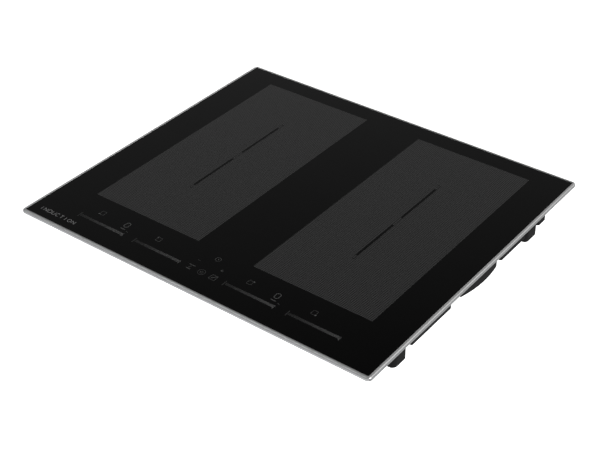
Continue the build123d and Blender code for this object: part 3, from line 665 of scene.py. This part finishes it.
def camera():
    """Camera that looks at its target from the front right and above."""
    azimuth, elevation = math.radians(CAMERA_AZIMUTH), math.radians(CAMERA_ELEVATION)
    back = np.array([math.sin(azimuth) * math.cos(elevation), -math.cos(azimuth) * math.cos(elevation),
                     math.sin(elevation)])
    lens = bpy.data.cameras.new("camera")
    lens.sensor_width = 36.0
    lens.lens = CAMERA_LENS
    lens.shift_x = CAMERA_SHIFT_X
    lens.clip_start = 0.05
    lens.clip_end = 200.0
    holder = bpy.data.objects.new("camera", lens)
    holder.location = np.array(CAMERA_TARGET) + back * CAMERA_DISTANCE
    holder.rotation_euler = (math.pi / 2 - elevation, 0.0, azimuth)
    bpy.context.scene.collection.objects.link(holder)
    bpy.context.scene.camera = holder


# ---------------------------------------------------------------------------
# finishes of the CAD nodes
# ---------------------------------------------------------------------------
def moulded(name, dark, light, rough, grain=1400.0, depth=0.00004, ior=1.48):
    """Moulded plastic or rubber: clouded colour and a fine pebble grain."""
    made, shader, place = new_material(name)
    cloud = place.noise(26.0, 3.0)
    pebble = place.noise(grain, 2.0)
    feed(shader, Base_Color=cloud.blend(dark, light), Roughness=pebble.spans(rough - 0.06, rough + 0.06),
         Normal=pebble.bump(0.35, depth), IOR=ior)
    return made


def metal(name, dark, light, rough, stretch=(1.0, 1.0, 1.0)):
    """Bare metal: clouded tone with rolled or cut lines along the least stretched axis."""
    made, shader, place = new_material(name)
    cloud = place.noise(20.0, 3.0)
    lines = place.noise(600.0, 2.0, stretch)
    feed(shader, Base_Color=cloud.blend(dark, light), Metallic=1.0,
         Roughness=lines.spans(rough - 0.08, rough + 0.08),
         Normal=lines.bump(0.2, 0.00004))
    return made


def stranded(name, dark, light):
    """Stranded copper: slanting bands where the strands cross, sine of x + y + z."""
    made, shader, place = new_material(name)
    x, y, z = axes(place)
    twist = ((x + y + z) * 4200.0).sine() * 0.5 + 0.5
    feed(shader, Base_Color=twist.blend(dark, light), Metallic=0.85, Roughness=0.34,
         Normal=twist.bump(0.5, 0.0002))
    return made


def board(name, dark, light):
    """Circuit board under solder mask: faint copper tracks as thin bands of a stretched noise."""
    made, shader, place = new_material(name)
    track = place.noise(180.0, 0.0, (1.0, 0.25, 1.0)).step(0.48, 0.52)
    feed(shader, Base_Color=track.blend(dark, light), Roughness=0.35,
         Normal=track.bump(0.3, 0.00003), IOR=1.5)
    return made


def finish_cad_nodes():
    """Gives each CAD node the finish of its material slot."""
    finishes = {
        "ceramic_glass": black_glass(),
        "seal_rubber": moulded("foam_rubber", (0.012, 0.012, 0.012),
                               (0.022, 0.022, 0.022), 0.8, 700.0, 0.0001),
        "tray_plastic": moulded("tray_plastic", (0.010, 0.010, 0.0103), (0.016, 0.016, 0.0164), 0.68,
                                ior=1.2),
        "terminal_plastic": moulded("terminal_plastic", (0.48, 0.48, 0.45), (0.56, 0.56, 0.53), 0.5),
        "screw_steel": metal("zinc_steel", (0.50, 0.50, 0.51), (0.60, 0.60, 0.61), 0.32),
        "sheet_aluminium": metal("rolled_aluminium", (0.62, 0.63, 0.64),
                                 (0.72, 0.73, 0.74), 0.36, (0.04, 1.0, 1.0)),
        "silicone": moulded("red_silicone", (0.42, 0.10, 0.06), (0.50, 0.14, 0.08), 0.6),
        "contact_brass": metal("tinned_brass", (0.62, 0.48, 0.24), (0.74, 0.60, 0.32), 0.3),
        "lead_sleeve": moulded("woven_sleeve", (0.58, 0.56, 0.52), (0.72, 0.70, 0.66), 0.8, 1800.0, 0.0001),
        "black_lead": moulded("lead_sheath", (0.02, 0.02, 0.02), (0.03, 0.03, 0.03), 0.45),
        "carrier_plastic": moulded("carrier_plastic", (0.06, 0.06, 0.065), (0.09, 0.09, 0.095), 0.55),
        "coil_copper": stranded("stranded_copper", (0.30, 0.12, 0.06), (0.75, 0.38, 0.20)),
        "ferrite": moulded("ferrite", (0.045, 0.045, 0.05), (0.075, 0.075, 0.08), 0.62, 900.0, 0.0001),
        "mica": moulded("pressed_mica", (0.48, 0.42, 0.31), (0.66, 0.60, 0.47), 0.5, 260.0, 0.0001),
        "board_green": board("solder_mask", (0.008, 0.075, 0.03), (0.02, 0.14, 0.06)),
        "package_black": moulded("moulded_epoxy", (0.015, 0.015, 0.016), (0.026, 0.026, 0.027), 0.45),
        "capacitor_case": moulded("capacitor_case", (0.50, 0.38, 0.05),
                                  (0.60, 0.47, 0.08), 0.3, 600.0, 0.00002),
        "choke_copper": stranded("enamelled_copper", (0.28, 0.09, 0.03), (0.66, 0.28, 0.10)),
        "fan_plastic": moulded("fan_plastic", (0.03, 0.03, 0.033), (0.045, 0.045, 0.048), 0.48),
        "motor_steel": metal("stacked_steel", (0.30, 0.30, 0.31), (0.44, 0.44, 0.45), 0.4, (0.1, 0.1, 1.0)),
        "relay_case": moulded("relay_case", (0.03, 0.10, 0.32), (0.04, 0.13, 0.40), 0.3, 600.0, 0.00002),
        "touch_frame": moulded("touch_frame", (0.62, 0.62, 0.60), (0.72, 0.72, 0.70), 0.5),
        "foam_pad": moulded("conductive_foam", (0.03, 0.03, 0.03), (0.06, 0.06, 0.06), 0.85, 900.0, 0.0002),
        "clear_guide": moulded("clear_guide", (0.70, 0.70, 0.72), (0.80, 0.80, 0.82), 0.22, 300.0, 0.00001),
        "ribbon": moulded("flat_cable", (0.48, 0.49, 0.50), (0.60, 0.61, 0.62), 0.4),
    }
    for entry in frame["record"]["subparts"]:
        made = finishes.get(entry["material_slot"])
        if made is None:
            continue
        node = frame["nodes"][entry["node"]]
        node.data.materials.clear()
        node.data.materials.append(made)


def main():
    """Sets the stage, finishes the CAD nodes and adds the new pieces."""
    scene = bpy.context.scene
    scene.view_settings.view_transform = "Standard"
    scene.view_settings.look = "None"
    camera()
    studio()
    surroundings()
    for lamp in SUNS:
        sun(*lamp)
    finish_cad_nodes()
    trim_rail()
    zone_prints()
    control_print()


main()
